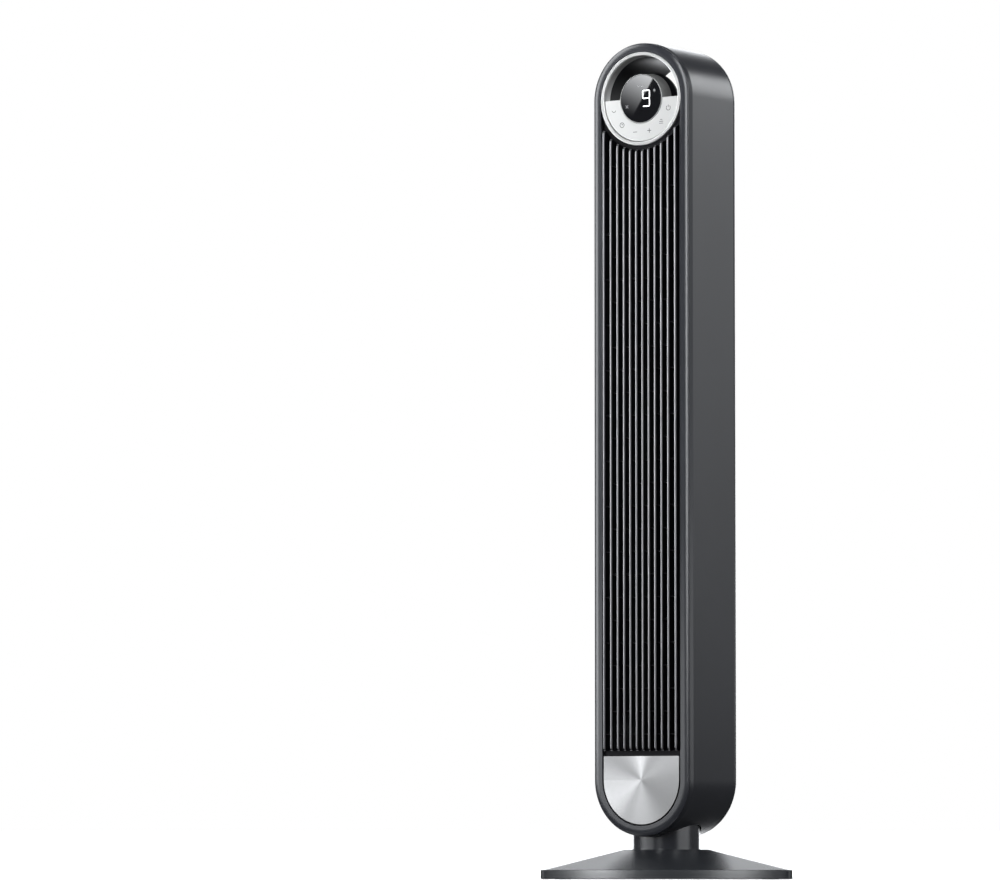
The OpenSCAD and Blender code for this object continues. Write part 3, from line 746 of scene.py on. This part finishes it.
roof_outline = rectangle(HAND_R, ROOF_Y, LINER_R, liner_high[1],
                         [0.0002, 0.0002, 0.0002, 0.0012])
NOTCH_X, NOTCH_Y = POD_WIDE + 0.0003, -0.006
SHELF_X, SHELF_Y = HAND_R - 0.0003, FRONT_Y + 0.0043
half_floor = np.array([(NOTCH_X, NOTCH_Y), (NOTCH_X, SHELF_Y), (SHELF_X, SHELF_Y),
                       (SHELF_X, ROOF_Y), (LINER_R, ROOF_Y), (LINER_R, liner_high[1])])
floor_outline = np.concatenate([half_floor, half_floor[::-1] * (-1, 1)])
FLOOR_THICK = 0.002
levels = np.stack([np.column_stack([floor_outline, np.full(len(floor_outline), height)])
                   for height in (TOP_C - FLOOR_THICK, TOP_C)])
liner_parts = turned_on_y(roof_outline, 0, TOP_C, 0, 180, 97) + skin(levels)
add_piece("hand_hole_liner", liner_parts, "tower", liner_plastic,
          ["handle_liner"])

# ---- display pod -----------------------------------------------------------------------
# A flared grey pod stands in the middle of the hand hole and carries the display, its lower
# half sunk in the body. A black domed cover snaps onto its back.
pod_low, pod_high = tower_box("display_housing")
POD_R, POD_Y = 0.0312, pod_low[1]
FLARE_Y = POD_Y + 0.029
pod_paint = silver_paint("pod_satin_grey", 0.30, 0.36, metallic=0.45)


def flare_at(t):
    """Radius and depth along the flare: the radius grows with t to the power 1.5."""
    return POD_R + (POD_WIDE - POD_R) * t ** 1.5, POD_Y + (FLARE_Y - POD_Y) * t


SEAM_T = 0.69
cone = [flare_at(t) for t in np.linspace(0, SEAM_T, 8)[1:]]
seam_r, seam_y = cone[-1]
POD_IN, SEAT_Y = POD_R - 0.003, POD_Y + 0.0023
pod_outline = ([(POD_R - 0.0006, POD_Y), (POD_R, POD_Y + 0.0004)] + cone
               + [(seam_r - 0.002, seam_y), (POD_R - 0.0012, POD_Y + 0.006),
                  (POD_IN, POD_Y + 0.004), (POD_IN, SEAT_Y), (POD_R - 0.0007, SEAT_Y)])
add_piece("display_pod", turned_on_y(pod_outline, 0, TOP_C), "tower", pod_paint,
          ["display_housing"], sharp=50)
skirt = [flare_at(t) for t in np.linspace(SEAM_T, 1, 5)]
skirt[0] = (seam_r - 0.0003, seam_y + 0.0002)
dome_turn = np.linspace(0, np.pi / 2, 12)[1:]
DOME_FLAT_R, DOME_RISE = 0.022, 0.0187
dome = [(DOME_FLAT_R + (POD_WIDE - DOME_FLAT_R) * np.cos(t), FLARE_Y + DOME_RISE * np.sin(t))
        for t in dome_turn]
dome_outline = skirt + dome + [(0.0, pod_high[1]), (0.0, pod_high[1] - 0.002),
                               (DOME_FLAT_R, pod_high[1] - 0.003), (POD_WIDE - 0.0025, FLARE_Y),
                               (seam_r - 0.0022, seam_y + 0.0002)]
add_piece("pod_back", turned_on_y(dome_outline, 0, TOP_C), "tower", liner_plastic,
          ["display_housing"], sharp=50)

# ---- display lens ----------------------------------------------------------------------
# A smoked, glossy acrylic disc set a hair below the pod's thin silver lip. Figures are
# lit from behind, so they read as thin white shapes in its surface.
lens_gloss = moulded_plastic("lens_smoked_gloss", (0.004, 0.004, 0.005), 0.015, grain_mm=8.0,
                             grain_height=0.0000005, variation=0.05, shine=0.75)
LENS_R, LENS_Y, LENS_T = POD_R - 0.0006, POD_Y + 0.0003, 0.002
lens_outline = rectangle(0.0, LENS_Y, LENS_R, LENS_Y + LENS_T, [0.0, 0.0003, 0.0002, 0.0])
add_piece("display_face", turned_on_y(lens_outline, 0, TOP_C), "tower", lens_gloss,
          ["display_lens"])
LIP_IN, LIP_OUT, LIP_BACK = LENS_R + 0.0001, POD_R + 0.0002, POD_Y + 0.0012
lip_outline = rectangle(LIP_IN, LENS_Y, LIP_OUT, LIP_BACK, 0.0002)
add_piece("lens_lip", turned_on_y(lip_outline, 0, TOP_C), "tower", ring_paint)

# The edge of this soft box, mirrored in the lens, is a line through a point near the lens's
# middle, EDGE_TILT degrees from level. Its bright side is the upper left.
EDGE_POINT, EDGE_TILT = (0.0019, 0.0007), 57.0
BOX_AWAY, BOX_SIZE = 1.2, (0.06, 0.10)
lens_point = turned(np.array([EDGE_POINT[0], LENS_Y, TOP_C + EDGE_POINT[1]]))
sight = lens_point - np.array(camera.location)
sight /= np.linalg.norm(sight)
lens_normal = turned(np.array([0.0, -1.0, 0.0]))
mirrored = sight - 2 * np.dot(sight, lens_normal) * lens_normal
tilt = math.radians(EDGE_TILT)
edge = turned(np.array([math.cos(tilt), 0.0, math.sin(tilt)]))
edge -= np.dot(edge, mirrored) * mirrored
edge /= np.linalg.norm(edge)
bright_side = np.cross(mirrored, edge)
if np.dot(bright_side, turned(np.array([-math.sin(tilt), 0.0, math.cos(tilt)]))) < 0:
    bright_side = -bright_side
box_middle = lens_point + mirrored * BOX_AWAY + bright_side * BOX_SIZE[0] / 2
lens_box = soft_box("lens_box", box_middle, box_middle - mirrored, BOX_SIZE, 17.5, edge)
fade(lens_box, 0.15, 1.45, shape="SMOOTHSTEP")

# ---- lit figure and icons --------------------------------------------------------------
# A seven-bar speed digit and three small generic status icons, printed on the back of the
# lens and lit from behind. They stand a hair proud of it here, so that they show.


def glow(name, colour, strength):
    """Back-lit print: a soft noise keeps the light a little uneven."""
    mat, tree, place = new_material(name)
    patch = add_node(tree, "TexNoise", {"Vector": place, "Scale": 300.0})
    tone = add_ramp(tree, patch.outputs["Fac"], [(0.0, [c * 0.88 for c in colour]),
                                                 (1.0, colour)])
    feed(tree, tree.nodes["Principled BSDF"], {
        "Roughness": 0.4, "Emission Strength": strength, "Base Color": tone.outputs["Color"],
        "Emission Color": tone.outputs["Color"]})
    return mat


PRINT_T, ICON_W = 0.00015, 0.0005


def stroke(path, width, front, thick=PRINT_T, closed=False):
    """A flat ribbon of constant width along a path (x, z) in the plane of the dial: the path
    is pushed half a width to each side along its normals and given a small thickness."""
    path = np.asarray(path, float)
    if closed:
        ahead = np.roll(path, -1, 0) - np.roll(path, 1, 0)
    else:
        ahead = np.gradient(path, axis=0)
    normal = np.stack([-ahead[:, 1], ahead[:, 0]], 1)
    normal /= np.linalg.norm(normal, axis=1)[:, None]
    a, b = path + normal * width / 2, path - normal * width / 2
    corners = [np.column_stack([p[:, 0], np.full(len(p), y), p[:, 1]])
               for p, y in ((a, front), (b, front), (b, front + thick), (a, front + thick))]
    return skin(np.stack(corners, 1), closed)


def seven_bar(centre, width, height, bar, lit, front):
    """Bars of a seven-bar figure: six-sided strokes between the corners of a figure eight,
    each pulled in from its corners by a small gap."""
    w, h = width / 2 - bar / 2, height / 2 - bar / 2
    corner = {"tl": (-w, h), "tr": (w, h), "ml": (-w, 0), "mr": (w, 0), "bl": (-w, -h),
              "br": (w, -h)}
    ends = {"top": ("tl", "tr"), "upper_left": ("ml", "tl"), "upper_right": ("mr", "tr"),
            "middle": ("ml", "mr"), "lower_left": ("bl", "ml"), "lower_right": ("br", "mr"),
            "bottom": ("bl", "br")}
    parts = []
    for name in lit:
        start, end = (np.array(corner[c]) for c in ends[name])
        along = (end - start) / np.linalg.norm(end - start)
        side = np.array([-along[1], along[0]]) * bar / 2
        point = along * bar / 2
        small_gap = along * bar * 0.12
        s, e = start + small_gap, end - small_gap
        shape = np.array([s, s + point + side, e - point + side, e, e - point - side,
                          s + point - side])[::-1] + centre
        parts += slab(shape, [front, front + PRINT_T])
    return parts


digit_light = glow("digit_white", (1.0, 1.0, 1.0), 1.6)
icon_light = glow("icon_grey", (0.30, 0.30, 0.31), 0.35)
PRINT_Y = LENS_Y - 0.00012
DIGIT_X, DIGIT_W, DIGIT_H, DIGIT_BAR = 0.0078, 0.0114, 0.0214, 0.0012
digit = seven_bar(np.array([DIGIT_X, TOP_C]), DIGIT_W, DIGIT_H, DIGIT_BAR,
                  ["top", "upper_left", "upper_right", "middle", "lower_right", "bottom"],
                  PRINT_Y)
add_piece("speed_digit", digit, "tower", digit_light)
icons = []
for shift in (-0.0026, 0.0026):
    icons += stroke(arc((-0.001 + shift, TOP_C + 0.0172), 0.0016, 200, 340, 9), ICON_W, PRINT_Y)
for k in range(3):
    tilt = math.radians(60 * k + 30)
    tip = np.array([math.cos(tilt), math.sin(tilt)]) * 0.0021
    icons += stroke(np.array([-tip, tip]) + (0.0200, TOP_C + 0.0095), ICON_W, PRINT_Y)
for k in range(4):
    tilt = math.radians(90 * k + 45)
    tip = np.array([math.cos(tilt), math.sin(tilt)])
    icons += stroke(np.array([tip * 0.0006, tip * 0.0024]) + (-0.0210, TOP_C - 0.0093), 0.0006,
                    PRINT_Y)
add_piece("status_icons", icons, "tower", icon_light)

# ---- touch panel -----------------------------------------------------------------------
# The lower half of the dial is one satin silver half ring with six touch symbols printed
# on it in grey. Nothing on it moves: the sensors are on a board behind.
touch_low, touch_high = tower_box("touch_panel")
touch_paint = silver_paint("touch_satin_silver", 0.56, 0.32)
TOUCH_IN, TOUCH_OUT, TOUCH_Y = POD_R + 0.0008, HAND_R - 0.0003, touch_low[1]
touch_outline = rectangle(TOUCH_IN, TOUCH_Y, TOUCH_OUT, touch_high[1],
                          [0.0004, 0.0005, 0.0002, 0.0002])
add_piece("touch_half_ring", turned_on_y(touch_outline, 0, TOP_C, 180, 360, 97), "tower",
          touch_paint, ["touch_panel"])
symbol_ink = moulded_plastic("symbol_grey_ink", (0.05, 0.05, 0.05), 0.6, variation=0.1)
SYMBOL_R, INK_W, INK_T = 0.0433, 0.0008, 0.0002
SYMBOL_ANGLES = (-72.0, -41.8, -12.0, 16.4, 44.3, 70.7)
INK_Y = TOUCH_Y - 0.0001


def on_dial(index):
    """Centre (x, z) of one of six symbols spread about the bottom of the dial."""
    a = math.radians(-90 + SYMBOL_ANGLES[index])
    return np.array([SYMBOL_R * math.cos(a), TOP_C + SYMBOL_R * math.sin(a)])


def line(centre, start, end):
    """A straight symbol stroke between two offsets from its centre."""
    return stroke(np.array([start, end]) + centre, INK_W, INK_Y, INK_T)


swing, timer, minus, plus, mode, power = (on_dial(i) for i in range(6))
ink = stroke(arc(swing + (0, 0.0012), 0.0029, 195, 345, 17), INK_W, INK_Y, INK_T)
ink += stroke(arc(timer, 0.0031, 0, 360, 33)[:-1], INK_W, INK_Y, INK_T, closed=True)
ink += line(timer, (0, 0), (0, 0.0019)) + line(timer, (0, 0), (0.0014, 0.0007))
ink += line(minus, (-0.0030, 0), (0.0030, 0))
ink += line(plus, (-0.0029, 0), (0.0029, 0)) + line(plus, (0, -0.0029), (0, 0.0029))
for rise, reach in ((0.0024, 0.0016), (0.0, 0.0029), (-0.0024, 0.0029)):
    ink += line(mode, (-reach, rise), (reach, rise))
ink += stroke(arc(power, 0.0030, 125, 415, 29), INK_W, INK_Y, INK_T)
ink += line(power, (0, 0.0010), (0, 0.0040))
add_piece("touch_symbols", ink, "tower", symbol_ink)

# ---- rear cover ------------------------------------------------------------------------
# The back of the tower is a rolled-edge moulding with a window for the intake grille, the
# far mouth of the hand hole, and six screws into the decks and turntable.
rear_low, rear_high = tower_box("rear_cover")
BACK_Y = rear_high[1]
rear_outline = rounded(
    [(END_R - WALL, rear_low[1]), (END_R - 0.0008, rear_low[1]), (END_R, rear_low[1] + 0.0012),
     (END_R, BACK_Y), (END_R - 0.0075, BACK_Y), (END_R - 0.0075, BACK_Y - WALL),
     (END_R - WALL, BACK_Y - WALL)],
    [0.0002, 0.0004, 0.0006, 0.005, 0.0001, 0.0001, 0.0028], steps=9)
rear_rim = add_piece("rear_rim", [stadium_band(rear_outline)], "tower", shell_plastic,
                     ["rear_cover"])
cut_neck_hole(rear_rim, END_HOLE_TOP)


def cut_sheet(name, outlines, y0, y1, bevel):
    """A flat plate with holes: closed outlines (x, z) filled by the even-odd rule, given a
    thickness and a small edge radius, then stood up in the tower's depth."""
    curve = bpy.data.curves.new(name, "CURVE")
    curve.dimensions, curve.fill_mode = "2D", "BOTH"
    curve.extrude = (y1 - y0) / 2 - bevel
    curve.bevel_depth, curve.bevel_resolution = bevel, 2
    curve.offset = -bevel
    for outline in outlines:
        spline = curve.splines.new("POLY")
        spline.points.add(len(outline) - 1)
        flat = np.column_stack([outline, np.zeros(len(outline)), np.ones(len(outline))])
        spline.points.foreach_set("co", flat.ravel())
        spline.use_cyclic_u = True
    holder = bpy.data.objects.new(name, curve)
    scene.collection.objects.link(holder)
    made = bpy.data.meshes.new_from_object(holder.evaluated_get(
        bpy.context.evaluated_depsgraph_get()))
    bpy.data.objects.remove(holder)
    co = np.empty(len(made.vertices) * 3)
    made.vertices.foreach_get("co", co)
    co = co.reshape(-1, 3)
    points = turned(np.column_stack([co[:, 0], (y0 + y1) / 2 + co[:, 2], co[:, 1]]))
    return [(points, [tuple(p.vertices) for p in made.polygons])]


grille_back_low, grille_back_high = tower_box("rear_grille")
REAR_R, GLAND_Z, GLAND_HOLE_R = END_R - 0.0072, 0.1, 0.006
WINDOW_PLAY = 0.0001
IN_X = grille_back_high[0] + WINDOW_PLAY
HOLE_X, HOLE_Z = LINER_R + 0.0002, TOP_C - 0.0022
stadium_outline = np.concatenate([arc((0, TOP_C), REAR_R, 0, 180, 73),
                                  arc((0, LOW_C), REAR_R, 180, 360, 73)])
hand_outline = np.concatenate([arc((0, TOP_C), HOLE_X, 0, 180, 73),
                               [(-HOLE_X, HOLE_Z), (HOLE_X, HOLE_Z)]])
rear_parts = cut_sheet("rear_plate", [
    stadium_outline, hand_outline, arc((0, GLAND_Z), GLAND_HOLE_R, 0, 360, 33)[:-1],
    rectangle(-IN_X, grille_back_low[2] - WINDOW_PLAY, IN_X,
              grille_back_high[2] + WINDOW_PLAY, 0.001)],
    BACK_Y - WALL, BACK_Y, 0.0004)
add_piece("rear_plate", rear_parts, "tower", shell_plastic, sharp=12)

# ---- intake grille ---------------------------------------------------------------------
# A black clip-in grille closes the window at the back. Its upright bars and cross ribs
# have rounded outer edges, and it lifts out for cleaning.
BARS, RIBS, BAR_W = 14, 11, 0.0018
GRILLE_W, GRILLE_Z0 = 2 * grille_back_high[0], grille_back_low[2]
GRILLE_H = grille_back_high[2] - GRILLE_Z0
bar_section = rectangle(-BAR_W / 2, BACK_Y - WALL, BAR_W / 2, BACK_Y - 0.0001,
                        [0.0001, 0.0001, 0.0008, 0.0008], steps=4)


def bar(at, low, high, upright=True):
    """A straight bar of the rounded section between two ends, upright or level."""
    n = len(bar_section)
    across, depth = at + bar_section[:, 0], bar_section[:, 1]
    points = np.stack([np.column_stack([across, depth, np.full(n, t)]) for t in (low, high)])
    return skin(points if upright else points[..., ::-1])


HALF_W, GRILLE_Z1, BORDER = GRILLE_W / 2, GRILLE_Z0 + GRILLE_H, 0.0025
intake_parts = []
for k in range(1, BARS + 1):
    intake_parts += bar(-HALF_W + k * GRILLE_W / (BARS + 1), GRILLE_Z0 + 0.001,
                        GRILLE_Z1 - 0.001)
for k in range(1, RIBS + 1):
    intake_parts += bar(GRILLE_Z0 + k * GRILLE_H / (RIBS + 1), -HALF_W + 0.001,
                        HALF_W - 0.001, upright=False)
intake_parts += cut_sheet("intake_border", [
    rectangle(-HALF_W, GRILLE_Z0, HALF_W, GRILLE_Z1, 0.001),
    rectangle(-HALF_W + BORDER, GRILLE_Z0 + BORDER, HALF_W - BORDER, GRILLE_Z1 - BORDER, 0.001)],
    BACK_Y - WALL, BACK_Y, 0.0003)
add_piece("intake_grille", intake_parts, "tower", grille_plastic,
          ["rear_grille"], sharp=24)

# ---- rear screws -----------------------------------------------------------------------
# Zinc-plated pan-head screws with a cross recess hold the rear cover on. Four go into the
# decks and two into the turntable.
steel = moulded_plastic("zinc_steel", (0.50, 0.50, 0.52), 0.32, grain_mm=0.25,
                        grain_height=0.000008, variation=0.08, metallic=1.0)
HEAD_R, HEAD_H, SHANK_R, SHANK_L = 0.0036, 0.0012, 0.002, 0.0118
SLOT_HALF_W, SLOT_HALF_L, SLOT_FLOOR = 0.00045, 0.0019, 0.0004
SCREWS = [(x, z) for x in (-0.058, 0.058) for z in (0.190, 0.918)]
SCREWS += [(-0.020, 0.082), (0.020, 0.082)]


def screw_head(x, z, seat):
    """A pan head as a height over a polar grid: a flattened dome, less a cross-shaped well
    wherever one coordinate is inside the slot width and the other inside its length."""
    r = np.concatenate([[0.0], np.linspace(0.15, 1, 12), [1.0]]) * HEAD_R
    a = np.linspace(0, 2 * np.pi, 48, endpoint=False)
    rr, aa = np.meshgrid(r, a, indexing="ij")
    u, v = rr * np.cos(aa), rr * np.sin(aa)
    height = HEAD_H * (1 - 0.35 * (rr / HEAD_R) ** 4)
    upright = (abs(u) < SLOT_HALF_W) & (abs(v) < SLOT_HALF_L)
    level = (abs(v) < SLOT_HALF_W) & (abs(u) < SLOT_HALF_L)
    height = np.where(upright | level, SLOT_FLOOR, height)
    height[-1] = 0.0
    points = turned(np.stack([x + u, seat + height, z + v], -1)).reshape(-1, 3)
    rim = np.arange(len(points) - 48, len(points))[None, :]
    return [(points, grid_faces(len(r), 48, close_cols=True)), (points, rim)]


heads = []
for x, z in SCREWS:
    heads += screw_head(x, z, BACK_Y)
    heads += turned_on_y([(0.0, BACK_Y - SHANK_L), (SHANK_R, BACK_Y - SHANK_L),
                          (SHANK_R, BACK_Y + 0.0001), (0.0, BACK_Y + 0.0001)], x, z, steps=24)
add_piece("cover_screws", heads, "tower", steel, ["rear_screws"])

# ---- cord gland ------------------------------------------------------------------------
# A moulded rubber bush low on the back, where the mains lead goes in. Its neck is pressed
# through a round hole in the rear plate and its flange lies on the outside.
rubber = moulded_plastic("moulded_rubber", (0.014, 0.014, 0.014), 0.62, grain_mm=0.6,
                         grain_height=0.00003, variation=0.15)
LEAD_R, BUSH_R, BUSH_RIM_R = 0.0032, 0.0059, 0.008
bush_in, bush_seat, bush_out = BACK_Y - 0.009, BACK_Y + 0.0001, BACK_Y + 0.003
gland_outline = rounded([(LEAD_R, bush_in), (BUSH_R, bush_in), (BUSH_R, bush_seat),
                         (BUSH_RIM_R, bush_seat), (BUSH_RIM_R, bush_out), (LEAD_R, bush_out)],
                        [0.0003, 0.0003, 0.0002, 0.0002, 0.0012, 0.0006])
add_piece("cord_bush", turned_on_y(gland_outline, 0, GLAND_Z, steps=64), "tower", rubber,
          ["cord_gland"])

# ---- rubber feet -----------------------------------------------------------------------
# Four moulded rubber discs with a rounded lower edge, stuck under the bottom plate near
# its corners. The fan stands on their flat undersides.
foot_low, foot_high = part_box("rubber_feet")
FOOT_R = 0.011
foot_outline = rectangle(0.0, foot_low.z, FOOT_R, foot_high.z, [0.0, 0.0006, 0.0002, 0.0])
foot_points, foot_faces = lathe(foot_outline, 48)
reach = foot_high.x - FOOT_R
feet = [(foot_points + (sx * reach, sy * reach, 0), foot_faces)
        for sx in (-1, 1) for sy in (-1, 1)]
add_piece("feet", feet, "base", rubber, ["rubber_feet"])

# ---- pieces inside and under the fan ---------------------------------------------------
# These keep their CAD shape. They are steel fixings, acetal gears, dark ribbed mouldings,
# green circuit boards, a cast motor case and a grey ribbon cable.


def finish_node(material, *names):
    """Gives CAD nodes a finish in all their material slots."""
    for name in names:
        mesh = frame["nodes"][name].data
        mesh.materials.clear()
        mesh.materials.append(material)


inner_plastic = moulded_plastic("inner_dark_grey", (0.030, 0.030, 0.032), 0.5, grain_mm=0.6,
                                variation=0.15)
acetal = moulded_plastic("natural_acetal", (0.72, 0.70, 0.62), 0.38, grain_mm=0.5,
                         grain_height=0.00001, variation=0.05)
case_metal = moulded_plastic("cast_motor_case", (0.42, 0.43, 0.44), 0.42, grain_mm=0.9,
                             grain_height=0.00005, variation=0.1, metallic=1.0)
board_green = moulded_plastic("board_solder_mask", (0.012, 0.10, 0.04), 0.3, grain_mm=1.5,
                              grain_height=0.00002, variation=0.3)
cable_grey = moulded_plastic("ribbon_cable_grey", (0.32, 0.32, 0.33), 0.45, grain_mm=1.2,
                             grain_height=0.0001, variation=0.1)
blower_black = moulded_plastic("impeller_black", (0.008, 0.008, 0.009), 0.4, variation=0.15)
plate_black = moulded_plastic("bottom_plate_black", (0.014, 0.014, 0.015), 0.55, grain_mm=0.8,
                              grain_height=0.00005, variation=0.15)
finish_node(plate_black, "base_plate")
finish_node(steel, "base_weight", "base_screws", "neck_screws", "bearing_balls",
            "retaining_ring", "drive_shaft", "top_axle")
finish_node(acetal, "ring_gear", "bearing_cage", "drive_pinion")
finish_node(inner_plastic, "turntable", "motor_deck", "upper_deck", "scroll_wall",
            "cutoff_wall")
finish_node(case_metal, "swing_motor", "fan_motor")
finish_node(board_green, "display_board", "touch_board", "main_board")
finish_node(cable_grey, "board_cable")
finish_node(blower_black, "impeller")
finish_node(rubber, "top_bush")
